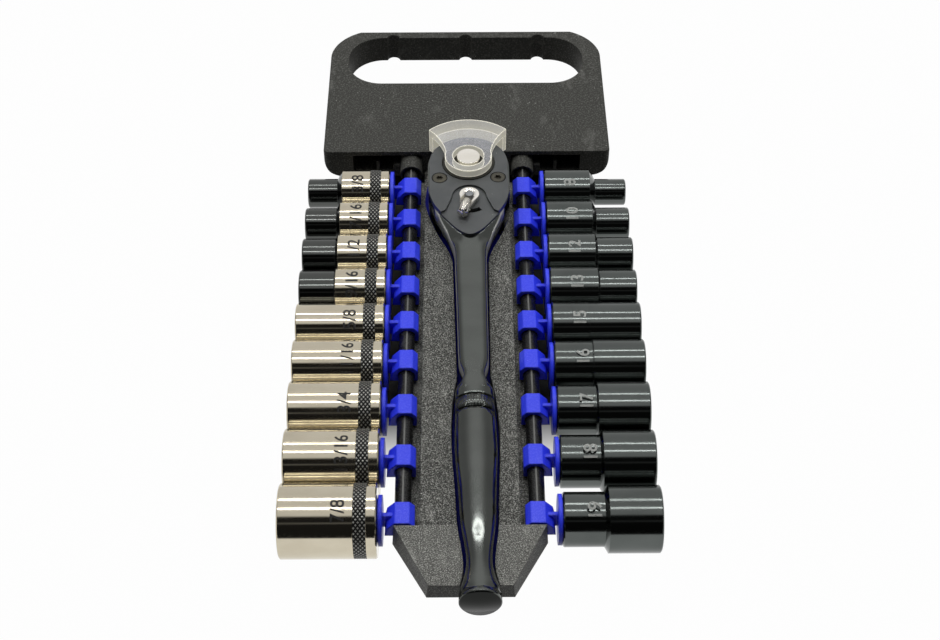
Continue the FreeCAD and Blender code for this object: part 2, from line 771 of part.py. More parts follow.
def pawl():
    """Rocking pawl with teeth on both arms, swung so that its right arm is in mesh."""
    arm = [(pawl_half, -pawl_pocket_from), (pawl_half, -pawl_shoulder),
           (pawl_back_half, -pawl_back), (0, -pawl_notch)]
    low = works_z + pawl_clear
    high = body_top - pawl_clear
    body = prism(arm + flipped(arm[:-1]), low, high)
    pivot = Vector(0, -pawl_pivot, 0)
    gear_room = prism(gear_points(mesh_clear), low, high)
    gear_room.rotate(pivot, z_axis, -pawl_swing)
    idle_room = rod(gear_tip_radius + 2 * mesh_clear, Vector(0, 0, low), high - low, z_axis)
    pin_room = rod(pawl_pin_radius + running_clear, pivot + z_axis * low, high - low, z_axis)
    body = body.cut(both_sides(gear_room) + [idle_room, pin_room])
    body.rotate(pivot, z_axis, pawl_swing)
    return on_wrench(body.removeSplitter())


def pawl_pin():
    low = works_z - pawl_pin_depth
    return on_wrench(rod(pawl_pin_radius, Vector(0, -pawl_pivot, low), body_top - low, z_axis))


def on_selector(shape):
    """Swing a piece drawn with the lever straight to the lever's place at rest."""
    pivot = Vector(0, -selector_at, 0)
    shape.rotate(pivot, z_axis, -selector_swing)
    return on_wrench(shape)


def plunger_middle():
    return (works_z + body_top) / 2


def selector_lever():
    shaft_low = works_z + pawl_clear
    shaft = rod(selector_radius, Vector(0, -selector_at, shaft_low), lever_z - shaft_low, z_axis)
    disc = rod(lever_radius, Vector(0, -selector_at, lever_z), lever_thickness, z_axis)
    taper = prism([(-lever_radius, -selector_at), (lever_radius, -selector_at),
                   (tab_radius, -selector_at - lug_at), (-tab_radius, -selector_at - lug_at)],
                  lever_z, lever_top)
    tab = rod(tab_radius, Vector(0, -selector_at - tab_from, lever_z + tab_radius),
              tab_to - tab_from, -y_axis)
    lug = rod(lug_radius, Vector(0, -selector_at - lug_at, body_top + lever_lift), lever_thickness, z_axis)
    pin_hole = rod(lever_pin_radius, Vector(0, -selector_at, lever_z), lever_thickness + tab_radius, z_axis)
    bore = rod(plunger_radius + running_clear, Vector(0, plunger_spring_from - selector_at, plunger_middle()),
               2 * selector_radius, y_axis)
    shape = shaft.fuse([disc, taper, tab, lug]).cut([pin_hole, bore])
    return on_selector(shape.removeSplitter())


def lever_pin():
    length = lever_thickness + lever_pin_proud
    return on_selector(rod(lever_pin_radius, Vector(0, -selector_at, lever_z), length, z_axis))


def pawl_plunger():
    """Round-nosed plunger that presses on the pawl's back."""
    length = plunger_reach - plunger_from - plunger_radius
    start = Vector(0, plunger_from - selector_at, plunger_middle())
    body = rod(plunger_radius, start, length, y_axis)
    nose = Part.makeSphere(plunger_radius, start + y_axis * length)
    return on_selector(body.fuse(nose).removeSplitter())


def plunger_spring():
    start = Vector(0, plunger_spring_from - selector_at, plunger_middle())
    length = plunger_from - plunger_spring_from
    sleeve = rod(plunger_radius, start, length, y_axis)
    return on_selector(sleeve.cut(rod(plunger_radius / 2, start, length, y_axis)))


# Clear retainer
def clear_retainer():
    """Clear ring round the button, fanning out to a skirt that stands on the handle block."""
    low = hub_top + seat_gap
    half_angle = math.radians(retainer_half_angle)
    corner = Vector(retainer_arc_radius * math.sin(half_angle),
                    retainer_arc_radius * math.cos(half_angle), low)
    left_corner = Vector(-corner.x, corner.y, low)
    waist = Vector(*retainer_waist, low)
    left_waist = Vector(-waist.x, waist.y, low)
    bend = Vector(*retainer_bend, low)
    left_bend = Vector(-bend.x, bend.y, low)
    edges = [Part.Arc(waist, bend, corner).toShape(),
             Part.Arc(corner, Vector(0, retainer_arc_radius, low), left_corner).toShape(),
             Part.Arc(left_corner, left_bend, left_waist).toShape(),
             Part.LineSegment(left_waist, waist).toShape()]
    fan = Part.Face(Part.Wire(edges)).extrude(Vector(0, 0, retainer_thickness))
    ring = rod(retainer_ring_radius, Vector(0, 0, low), retainer_thickness, z_axis)
    foot = rack_half + seat_gap
    outer = rod(retainer_arc_radius, Vector(0, 0, foot), retainer_top - foot, z_axis)
    inner = rod(retainer_arc_radius - retainer_skirt, Vector(0, 0, foot), retainer_top - foot, z_axis)
    reach = 2 * retainer_arc_radius
    edge = reach * math.tan(half_angle)
    skirt = outer.cut(inner).common(prism([(0, 0), (edge, reach), (-edge, reach)], foot, retainer_top))
    bore = rod(retainer_bore_radius, Vector(0, 0, low), retainer_thickness, z_axis)
    return on_wrench(fan.fuse([ring, skirt]).cut(bore).removeSplitter())


os.makedirs("parts", exist_ok=True)
for builder in (handle_block, deck, panel_insert, blue_liner, ratchet_handle, head_cover, cover_screws,
                drive_gear, release_button, release_spring, detent_ball, pawl, pawl_pin, selector_lever,
                lever_pin, pawl_plunger, plunger_spring, clear_retainer):
    save(builder.__name__, builder())
save("left_rail", rail(-1))
save("right_rail", rail(1))
for place in range(row_count):
    number = str(place + 1)
    save("left_clip_" + number, placed_clip(place, -1))
    save("right_clip_" + number, placed_clip(place, 1))
    save("left_socket_" + number, left_socket(place))
    save("right_socket_" + number, right_socket(place))
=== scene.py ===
"""Looks of a socket wrench set on an open hanging rack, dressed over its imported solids."""

import logging
import math
from dataclasses import dataclass, field
from enum import Enum
from typing import Any, Iterable, Optional, Sequence, Union

import bmesh
import bpy
from bmesh.types import BMEdge, BMesh
from bpy.types import ID, Material, Mesh, Node, NodeSocket, NodeTree, Object
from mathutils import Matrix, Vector


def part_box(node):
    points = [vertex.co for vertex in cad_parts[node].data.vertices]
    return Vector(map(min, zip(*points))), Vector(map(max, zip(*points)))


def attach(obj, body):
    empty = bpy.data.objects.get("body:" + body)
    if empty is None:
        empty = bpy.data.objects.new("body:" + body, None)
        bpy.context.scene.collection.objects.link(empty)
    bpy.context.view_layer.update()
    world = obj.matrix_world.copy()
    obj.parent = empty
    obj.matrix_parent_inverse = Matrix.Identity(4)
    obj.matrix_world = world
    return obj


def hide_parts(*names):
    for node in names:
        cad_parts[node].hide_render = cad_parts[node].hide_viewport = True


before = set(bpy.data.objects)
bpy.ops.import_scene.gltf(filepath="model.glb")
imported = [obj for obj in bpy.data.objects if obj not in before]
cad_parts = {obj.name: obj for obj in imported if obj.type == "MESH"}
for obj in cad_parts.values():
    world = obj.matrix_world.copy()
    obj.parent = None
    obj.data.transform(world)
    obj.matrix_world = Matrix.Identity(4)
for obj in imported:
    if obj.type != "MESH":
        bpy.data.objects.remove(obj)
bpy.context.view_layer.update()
LOG = logging.getLogger("socket_set")

MM = 0.001
MERGE = 0.001 * MM
SHARP = math.radians(35)
Key = Union[int, str]
Pair = tuple[float, float]
Triple = tuple[float, float, float]
Colour = tuple[float, float, float, float]
Ring = tuple[float, float, float, float]
Stations = Sequence[Pair]


def tone(red: int, green: int, blue: int) -> Colour:
    """Turn a display colour into the linear colour that shaders take.

    Args:
        red: Display red, 0 to 255.
        green: Display green, 0 to 255.
        blue: Display blue, 0 to 255.

    Returns:
        The linear colour with full alpha.
    """
    def linear(level: int) -> float:
        """Undo the display curve on one channel."""
        share = level / 255
        return share / 12.92 if share <= 0.04045 else ((share + 0.055) / 1.055) ** 2.4
    return (linear(red), linear(green), linear(blue), 1.0)


class Side(Enum):
    """A row of sockets, by the side of the wrench that it lies on."""

    LEFT = "left"
    RIGHT = "right"

    @property
    def outward(self) -> int:
        """Sign of X from the rail to the socket's nose."""
        return -1 if self is Side.LEFT else 1


class Value:
    """A node's output, wrapped so that sums on it are written as Python expressions."""

    def __init__(self, graph: "Graph", node: Node, output: Key = 0) -> None:
        """Wrap one output.

        Args:
            graph: The graph that holds the node.
            node: The node.
            output: The output's place or name. A closing node has none.
        """
        self.graph = graph
        self.node = node
        self.socket = node.outputs[output] if node.outputs else None

    def other(self, output: Key) -> "Value":
        """Another output of the same node."""
        return Value(self.graph, self.node, output)

    def _sum(self, operation: str, first: "Term", second: "Term" = 0.0) -> "Value":
        """Add a Math node."""
        return self.graph.node("ShaderNodeMath", {"operation": operation}, {0: first, 1: second})

    def __add__(self, term: "Term") -> "Value":
        """Sum."""
        return self._sum("ADD", self, term)

    def __radd__(self, term: "Term") -> "Value":
        """Sum with the number first."""
        return self._sum("ADD", term, self)

    def __sub__(self, term: "Term") -> "Value":
        """Difference."""
        return self._sum("SUBTRACT", self, term)

    def __rsub__(self, term: "Term") -> "Value":
        """Difference with the number first."""
        return self._sum("SUBTRACT", term, self)

    def __mul__(self, term: "Term") -> "Value":
        """Product."""
        return self._sum("MULTIPLY", self, term)

    def __rmul__(self, term: "Term") -> "Value":
        """Product with the number first."""
        return self._sum("MULTIPLY", term, self)

    def __truediv__(self, term: "Term") -> "Value":
        """Quotient."""
        return self._sum("DIVIDE", self, term)

    def __mod__(self, term: "Term") -> "Value":
        """Rest of a division."""
        return self._sum("MODULO", self, term)

    def __abs__(self) -> "Value":
        """Size without sign."""
        return self._sum("ABSOLUTE", self)

    def floor(self) -> "Value":
        """Whole part."""
        return self._sum("FLOOR", self)

    def sine(self) -> "Value":
        """Sine of an angle in radians."""
        return self._sum("SINE", self)

    def cosine(self) -> "Value":
        """Cosine of an angle in radians."""
        return self._sum("COSINE", self)

    def larger(self, term: "Term") -> "Value":
        """The larger of the two."""
        return self._sum("MAXIMUM", self, term)

    def rise(self, low: float, high: float) -> "Value":
        """Smooth step from 0 at low to 1 at high, which may lie either way round."""
        return self.graph.node("ShaderNodeMapRange", {"interpolation_type": "SMOOTHSTEP"},
                               {"Value": self, "From Min": low, "From Max": high})


Term = Union[Value, float]


class Graph:
    """A node tree that grows by one method."""

    def __init__(self, tree: NodeTree) -> None:
        """Start on an empty tree."""
        self.tree = tree
        self.tree.nodes.clear()

    def node(self, kind: str, settings: Optional[dict[str, Any]] = None,
             sockets: Optional[dict[Key, Any]] = None, output: Key = 0) -> Value:
        """Add a node.

        Args:
            kind: The node's type.
            settings: What is set on the node first.
            sockets: A value or a link for each input, by its place, identifier or name.
            output: The output that the answer stands for.

        Returns:
            The wrapped output.
        """
        node = self.tree.nodes.new(kind)
        for key, value in (settings or {}).items():
            setattr(node, key, value)
        for key, value in (sockets or {}).items():
            socket = self._input(node, key)
            if isinstance(value, Value):
                self.tree.links.new(value.socket, socket)
            else:
                socket.default_value = value
        return Value(self, node, output)

    @staticmethod
    def _input(node: Node, key: Key) -> NodeSocket:
        """Find an input.

        Args:
            node: The node.
            key: The input's place, identifier or name.

        Returns:
            The input.
        """
        if isinstance(key, int):
            return node.inputs[key]
        for socket in node.inputs:
            if socket.identifier == key:
                return socket
        return node.inputs[key]


class Paint(Graph):
    """A material being written."""

    bevel_samples: int = 4
    edge_turn: Pair = (0.992, 0.92)

    def __init__(self, name: str) -> None:
        """Start an empty material.

        Args:
            name: The material's name.
        """
        self.material = bpy.data.materials.new(name)
        self.material.use_nodes = True
        super().__init__(self.material.node_tree)
        self.where = self.node("ShaderNodeTexCoord", output="Object")

    def stretched(self, stretch: Triple) -> Value:
        """Object coordinates, scaled along each axis."""
        return self.node("ShaderNodeVectorMath", {"operation": "MULTIPLY"}, {0: self.where, 1: stretch})

    def along(self, axis: str) -> Value:
        """One of the object coordinates, X, Y or Z."""
        return self.node("ShaderNodeSeparateXYZ", None, {0: self.where}, axis)

    def noise(self, scale: float, detail: float = 2.0, stretch: Triple = (1.0, 1.0, 1.0)) -> Value:
        """Cloudy noise from 0 to 1, with a scale in grains per metre."""
        return self.node("ShaderNodeTexNoise", None,
                         {"Vector": self.stretched(stretch), "Scale": scale, "Detail": detail})

    def cells(self, scale: float) -> Value:
        """Distance to the nearest of many scattered points."""
        return self.node("ShaderNodeTexVoronoi", None, {"Vector": self.where, "Scale": scale})

    def mix(self, share: Term, first: Union[Value, Colour], second: Union[Value, Colour]) -> Value:
        """Blend two colours."""
        return self.node("ShaderNodeMix", {"data_type": "RGBA"},
                         {"Factor_Float": share, "A_Color": first, "B_Color": second}, 2)

    def away_from(self, x: float, y: float) -> Value:
        """Distance on plan from a point."""
        return self.node("ShaderNodeVectorMath", {"operation": "DISTANCE"},
                         {0: self.stretched((1.0, 1.0, 0.0)), 1: (x, y, 0.0)}, "Value")

    def edges(self, radius: float) -> Value:
        """Find the sharp edges.

        Args:
            radius: Distance from an edge at which it no longer counts.

        Returns:
            One on the edges, falling to nothing at the radius.
        """
        true = self.node("ShaderNodeNewGeometry", output="True Normal")
        turn = self.node("ShaderNodeVectorMath", {"operation": "DOT_PRODUCT"},
                         {0: true, 1: self.rounded(radius)}, "Value")
        return turn.rise(*self.edge_turn)

    def rounded(self, radius: float) -> Value:
        """Normals that turn softly over sharp edges."""
        return self.node("ShaderNodeBevel", {"samples": self.bevel_samples}, {"Radius": radius})

    def bump(self, height: Value, depth: float, strength: float, edge: float = 0.0) -> Value:
        """Normals for a relief.

        Args:
            height: The relief, from 0 to 1.
            depth: Its depth in metres.
            strength: How much of it shows.
            edge: Radius of softened edges in metres, or nothing.

        Returns:
            The normals.
        """
        sockets: dict[Key, Any] = {"Height": height, "Distance": depth, "Strength": strength}
        if edge:
            sockets["Normal"] = self.rounded(edge)
        return self.node("ShaderNodeBump", None, sockets)

    def finish(self, **sockets: Any) -> Material:
        """Close the material with a Principled shader.

        Args:
            sockets: Its inputs, with underscores for spaces.

        Returns:
            The material.
        """
        inputs = {name.replace("_", " "): value for name, value in sockets.items()}
        shader = self.node("ShaderNodeBsdfPrincipled", None, inputs)
        self.node("ShaderNodeOutputMaterial", None, {"Surface": shader})
        return self.material


@dataclass(frozen=True)
class MouldedPlastic:
    """Grained moulding with scuffs and flecks of dust, and a painted highlight along a rail's middle."""

    name: str
    colour: Colour
    scuffed: Colour
    grain: float = 1900.0
    depth: float = 0.06 * MM
    strength: float = 0.5
    roughness: float = 0.5
    flecks: float = 0.0
    speckle: float = 0.35
    edge: float = 0.5 * MM
    sheen: float = 0.06
    highlight_line_x: Optional[float] = None
    highlight_line_fade: Pair = (0.45 * MM, 0.2 * MM)
    dust: Colour = tone(225, 224, 218)
    cloud_scale: float = 45.0
    scuff_scale: float = 160.0
    dust_scale: float = 520.0
    drift_scale: float = 70.0

    def material(self) -> Material:
        """Write the material.

        Returns:
            The moulding's finish.
        """
        paint = Paint(self.name)
        grain = paint.noise(self.grain, detail=3.0)
        cloud = paint.noise(self.cloud_scale, detail=3.0)
        scuff = paint.noise(self.scuff_scale, detail=5.0, stretch=(1.0, 0.35, 1.0)).rise(0.56, 0.78) * cloud
        drift = paint.noise(self.drift_scale).rise(0.45, 0.7)
        dust = paint.cells(self.dust_scale).rise(0.115, 0.055) * drift * self.flecks
        base = paint.mix(scuff * 0.55 + grain.rise(0.45, 0.72) * self.speckle, self.colour, self.scuffed)
        base = paint.mix(dust, base, self.dust)
        # painted highlight: a pale line in the scuffed colour along the rail's top middle stands in for
        # light shining on it
        if self.highlight_line_x:
            away = abs(abs(paint.along("X")) - self.highlight_line_x)
            base = paint.mix(away.rise(*self.highlight_line_fade) * cloud.rise(0.3, 0.5), base, self.scuffed)
        rough = self.roughness + (grain - 0.5) * 0.25 + scuff * 0.12
        return paint.finish(Base_Color=base, Roughness=rough, Specular_IOR_Level=self.sheen,
                            Normal=paint.bump(grain, self.depth, self.strength, self.edge))


@dataclass(frozen=True)
class PlatedSteel:
    """Turned steel, plated, with lathe lines, smears, nicks, and a darker end or a painted edge highlight.
    """

    name: str
    colour: Colour
    shade: Colour
    roughness: float = 0.1
    lathe: float = 5200.0
    strength: float = 0.06
    edge: float = 0.35 * MM
    dark_nose: Optional[Colour] = None
    nose_axis: str = "X"
    nose_from: float = 0.0
    nose_fade: float = 0.15 * MM
    painted_highlight: Optional[Colour] = None
    line_depth: float = 0.01 * MM
    smear_scale: float = 75.0
    nick_scale: float = 230.0
    patch_scale: float = 60.0

    def material(self) -> Material:
        """Write the material.

        Returns:
            The steel's finish.
        """
        paint = Paint(self.name)
        lines = paint.noise(self.lathe, stretch=(1.0, 0.02, 0.02))
        smear = paint.noise(self.smear_scale, detail=4.0, stretch=(0.5, 1.0, 1.0))
        nick = paint.cells(self.nick_scale).rise(0.05, 0.02) * paint.noise(self.patch_scale).rise(0.5, 0.62)
        base = paint.mix(smear.rise(0.35, 0.75) * 0.5 + nick * 0.5, self.colour, self.shade)
        # darker past nose_from along the chosen axis; on the wrench this is the pommel's end face, a painted
        # dark reflection
        if self.dark_nose:
            away = abs(paint.along(self.nose_axis)) - self.nose_from
            base = paint.mix(away.rise(-self.nose_fade, self.nose_fade), base, self.dark_nose)
        rough = self.roughness + smear.rise(0.4, 0.8) * 0.07 + nick * 0.2
        metal: Term = 1.0
        # painted highlight: along the marked outer edges the colour turns lighter, rougher and less
        # metallic, standing in for light caught on their rounding
        if self.painted_highlight:
            edge_highlight = paint.node("ShaderNodeAttribute", {"attribute_name": "edge_highlight"}, output="Fac")
            edge_highlight = edge_highlight * smear.rise(0.2, 0.5)
            base = paint.mix(edge_highlight, base, self.painted_highlight)
            rough = rough + edge_highlight * 0.3
            metal = 1 - edge_highlight * 0.8
        return paint.finish(Base_Color=base, Roughness=rough, Metallic=metal,
                            Normal=paint.bump(lines, self.line_depth, self.strength, self.edge))


@dataclass(frozen=True)
class BlastedPlate:
    """Bead-blasted, darkened steel plate, with rings of painted shadow where it is told of them."""

    name: str
    colour: Colour
    worn: Colour
    roughness: float = 0.42
    metallic: float = 0.85
    edge: float = 0.3 * MM
    rings: Sequence[Ring] = ()
    shadow_ring_fade: Pair = (0.1 * MM, 0.15 * MM)
    shadow_ring_colour: Colour = tone(14, 14, 14)
    glint_shade: Colour = tone(230, 230, 226)
    bead_depth: float = 0.02 * MM
    bead_scale: float = 3600.0
    cloud_scale: float = 110.0
    glint_scale: float = 420.0

    def material(self) -> Material:
        """Write the material.

        Returns:
            The plate's finish.
        """
        paint = Paint(self.name)
        beads = paint.noise(self.bead_scale)
        cloud = paint.noise(self.cloud_scale, detail=4.0)
        glint = paint.cells(self.glint_scale).rise(0.07, 0.03) * cloud.rise(0.5, 0.66)
        base = paint.mix(cloud.rise(0.3, 0.8) * 0.5 + beads * 0.3, self.colour, self.worn)
        base = paint.mix(glint, base, self.glint_shade)
        fade_in, fade_out = self.shadow_ring_fade
        # painted shadow: a dark ring in the gap round each screw head
        for x, y, inner, outer in self.rings:
            away = paint.away_from(x, y)
            ring = away.rise(inner - fade_in, inner) * away.rise(outer, outer - fade_out)
            base = paint.mix(ring, base, self.shadow_ring_colour)
        rough = self.roughness + (beads - 0.5) * 0.2
        return paint.finish(Base_Color=base, Roughness=rough, Metallic=self.metallic,
                            Normal=paint.bump(beads, self.bead_depth, 0.35, self.edge))


@dataclass(frozen=True)
class KnurledPlate:
    """Blackened knurl whose diamond tips carry a painted highlight, broken up by a noise."""

    name: str
    colour: Colour
    painted_highlight: Colour
    roughness: float = 0.42
    metallic: float = 0.6
    wear_depth: float = 0.02 * MM
    wear_scale: float = 900.0

    def material(self) -> Material:
        """Write the material.

        Returns:
            The knurl's finish.
        """
        paint = Paint(self.name)
        tip = paint.node("ShaderNodeAttribute", {"attribute_name": "tip"}, output="Fac")
        wear_and_glint = paint.noise(self.wear_scale, detail=3.0)
        # painted highlight: the diamond tips are painted light, standing in for glints of the lamps
        painted_highlight = tip.rise(0.35, 0.8) * wear_and_glint.rise(0.2, 0.45)
        return paint.finish(Base_Color=paint.mix(painted_highlight, self.colour, self.painted_highlight), Metallic=self.metallic,
                            Roughness=self.roughness - painted_highlight * 0.2,
                            Normal=paint.bump(wear_and_glint, self.wear_depth, 0.2))


@dataclass(frozen=True)
class ClearMoulding:
    """Clear plastic, denser and warmer on its upright walls, with a painted glow and painted highlight rims.
    """

    name: str
    face: Colour
    wall: Colour
    rim: Colour
    face_cover: float = 0.2
    wall_cover: float = 0.62
    rim_cover: float = 0.92
    rim_width: float = 0.8 * MM
    edge: float = 0.5 * MM
    glow: float = 0.55
    wall_painted_glow: float = 0.45
    haze_depth: float = 0.05 * MM
    haze_scale: float = 140.0

    def material(self) -> Material:
        """Write the material.

        Returns:
            The clear plastic's finish.
        """
        paint = Paint(self.name)
        facing = paint.node("ShaderNodeNewGeometry", output="Normal")
        wall = 1 - abs(paint.node("ShaderNodeSeparateXYZ", None, {0: facing}, "Z")).rise(0.25, 0.75)
        haze = paint.noise(self.haze_scale, detail=3.0)
        rim = paint.edges(self.rim_width)
        # painted highlight: the edges take the bright rim colour
        base = paint.mix(rim, paint.mix(wall, self.face, self.wall), self.rim)
        cover = self.face_cover + wall * (self.wall_cover - self.face_cover) + (haze - 0.5) * 0.08
        cover = cover.larger(rim * self.rim_cover)
        # painted glow: walls and edges give off light though the part is no lamp
        painted_glow_colour = paint.mix((wall * self.wall_painted_glow).larger(rim), (0.0, 0.0, 0.0, 1.0), self.rim)
        return paint.finish(Base_Color=base, Alpha=cover, Roughness=0.12 + haze * 0.08,
                            Emission_Color=painted_glow_colour, Emission_Strength=self.glow,
                            Normal=paint.bump(haze, self.haze_depth, 0.1, self.edge))


@dataclass(frozen=True)
class FilledMark:
    """Ink in an etched mark, worn through in places."""

    name: str
    colour: Colour
    worn: Colour
    wear_depth: float = 0.02 * MM
    wear_scale: float = 1500.0

    def material(self) -> Material:
        """Write the material.

        Returns:
            The mark's finish.
        """
        paint = Paint(self.name)
        worn = paint.noise(self.wear_scale, detail=3.0)
        return paint.finish(Base_Color=paint.mix(worn.rise(0.58, 0.72), self.colour, self.worn),
                            Roughness=0.45 + worn * 0.3,
                            Normal=paint.bump(worn, self.wear_depth, 0.3))


def corners(node: str) -> tuple[Vector, Vector]:
    """Lowest and highest corner of a solid of the frame."""
    low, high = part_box(node)
    return Vector(low), Vector(high)


class Wardrobe:
    """Every finish of the set, written once."""

    dark_nose_from: float = 57.9 * MM
    pommel_face: float = 0.6 * MM
    screw_radius: float = 3.2 * MM
    screw_gap: float = 0.55 * MM

    def __init__(self) -> None:
        """Write the materials."""
        champagne = tone(206, 198, 178)
        amber = tone(184, 175, 154)
        self.rack = MouldedPlastic(
            "rack_black_grained", tone(54, 54, 51), tone(116, 116, 112), grain=1300.0, strength=0.6,
            flecks=0.8, speckle=0.42).material()
        self.deck = MouldedPlastic(
            "deck_black_grained", tone(72, 72, 69), tone(178, 178, 172), grain=2500.0, strength=0.9,
            flecks=1.0, speckle=0.8).material()
        self.panel = MouldedPlastic(
            "panel_black_grained", tone(50, 50, 48), tone(162, 162, 156), grain=2400.0, strength=0.9,
            flecks=1.0, speckle=0.85).material()
        # the rail carries a painted highlight line along its middle
        self.rail = MouldedPlastic(
            "rail_black_smooth", tone(14, 14, 14), tone(92, 92, 89), grain=2600.0, strength=0.12,
            roughness=0.26, speckle=0.02, sheen=0.4, highlight_line_x=self.rail_middle()).material()
        self.clip = MouldedPlastic(
            "clip_blue_moulded", tone(38, 52, 214), tone(98, 110, 234), grain=2400.0, strength=0.2,
            roughness=0.36, flecks=0.1, edge=1.0 * MM, sheen=0.3).material()
        # the liner's navy is the sheet's blue, darkened as painted shade of the deep well it lines
        self.liner = MouldedPlastic(
            "liner_blue_sheet", tone(14, 17, 104), tone(28, 34, 140), grain=2400.0, strength=0.2).material()
        self.chrome = PlatedSteel("socket_champagne_plate", champagne, amber).material()
        self.chrome_dark_nose = PlatedSteel(
            "socket_champagne_plate_dark_nose", champagne, amber, dark_nose=tone(84, 86, 84),
            nose_from=self.dark_nose_from).material()
        self.black_plate = PlatedSteel(
            "socket_black_plate", tone(94, 98, 96), tone(76, 80, 78), roughness=0.12).material()
        # the wrench's plating has a painted highlight along its outer edges and a painted dark reflection on
        # the pommel's end face
        self.lacquer = PlatedSteel(
            "wrench_black_plate", tone(104, 107, 104), tone(88, 91, 88), roughness=0.12, lathe=900.0,
            strength=0.03, edge=0.6 * MM, dark_nose=tone(40, 41, 40), nose_axis="Y",
            nose_from=-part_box("ratchet_handle")[0][1] - self.pommel_face,
            painted_highlight=tone(150, 150, 146)).material()
        self.cover = BlastedPlate(
            "cover_grey_blasted", tone(84, 86, 87), tone(102, 104, 104), rings=self.screw_shadow_rings()).material()
        self.hub = BlastedPlate(
            "hub_dark_blasted", tone(50, 50, 47), tone(72, 70, 64), roughness=0.5).material()
        self.screw = BlastedPlate(
            "screw_dark", tone(74, 73, 68), tone(100, 95, 80), roughness=0.36).material()
        self.bright = PlatedSteel(
            "lever_bright_plate", tone(252, 248, 240), tone(232, 226, 212), roughness=0.16,
            edge=0.3 * MM).material()
        self.pin = BlastedPlate(
            "pin_grey_steel", tone(150, 152, 154), tone(120, 121, 122), roughness=0.3).material()
        self.works = PlatedSteel(
            "works_oiled_steel", tone(126, 124, 118), tone(92, 90, 84), roughness=0.28).material()
        self.band = KnurledPlate("band_black_knurl", tone(14, 14, 14), tone(176, 176, 170)).material()
        # the retainer's bright rims and glow are painted light
        self.clear = ClearMoulding(
            "retainer_clear", tone(206, 207, 212), tone(226, 222, 204), tone(250, 246, 228)).material()
        self.ink = FilledMark("mark_black_ink", tone(16, 15, 14), tone(90, 84, 72)).material()
        self.etch = FilledMark("mark_grey_etch", tone(140, 142, 138), tone(60, 62, 60)).material()

    @staticmethod
    def rail_middle() -> float:
        """Distance of a rail's middle from the wrench's plane."""
        low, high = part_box("right_rail")
        return (low[0] + high[0]) / 2

    def screw_shadow_rings(self) -> list[Ring]:
        """Find the gaps round the heads of the two cover screws.

        Returns:
            A ring of painted shadow round each head.
        """
        low, high = corners("cover_screws")
        radius = self.screw_radius
        centres = [(low.x + radius, low.y + radius), (high.x - radius, high.y - radius)]
        return [(x, y, radius, radius + self.screw_gap) for x, y in centres]


def dress(nodes: Iterable[str], material: Material) -> None:
    """Give solids of the frame a finish.

    Args:
        nodes: The solids' names.
        material: The finish.
    """
    for name in nodes:
        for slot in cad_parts[name].material_slots:
            slot.material = material
        LOG.info("dressed %s with %s", name, material.name)


def plain_mesh(piece: Object) -> Mesh:
    """The evaluated shape of an object, as a mesh of its own."""
    graph = bpy.context.evaluated_depsgraph_get()
    return bpy.data.meshes.new_from_object(piece.evaluated_get(graph))


def seated(piece: Object, body: str) -> None:
    """Let a finished piece ride on a body.

    Args:
        piece: The piece.
        body: The body's name.
    """
    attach(piece, body)
    LOG.info("made %s on %s, %d faces", piece.name, body, len(piece.data.polygons))


def linked(name: str, data: ID) -> Object:
    """Put a new object in the scene.

    Args:
        name: Its name.
        data: Its mesh, text, camera or lamp.

    Returns:
        The object.
    """
    item = bpy.data.objects.new(name, data)
    bpy.context.scene.collection.objects.link(item)
    return item


def merged_copy(node: str) -> BMesh:
    """Copy the mesh of a solid and merge its doubles.

    Args:
        node: The solid's name.

    Returns:
        The copy.
    """
    copy = bmesh.new()
    copy.from_mesh(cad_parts[node].data)
    bmesh.ops.remove_doubles(copy, verts=copy.verts[:], dist=MERGE)
    return copy


def forged(name: str, shape: BMesh, material: Material) -> Object:
    """Turn a finished shape into a piece that is smooth between its sharp edges.

    Args:
        name: The piece's name.
        shape: Its shape, which is freed.
        material: Its finish.

    Returns:
        The piece.
    """
    mesh = bpy.data.meshes.new(name)
    shape.to_mesh(mesh)
    shape.free()
    mesh.polygons.foreach_set("use_smooth", [True] * len(mesh.polygons))
    mesh.set_sharp_from_angle(angle=SHARP)
    mesh.materials.append(material)
    return linked(name, mesh)


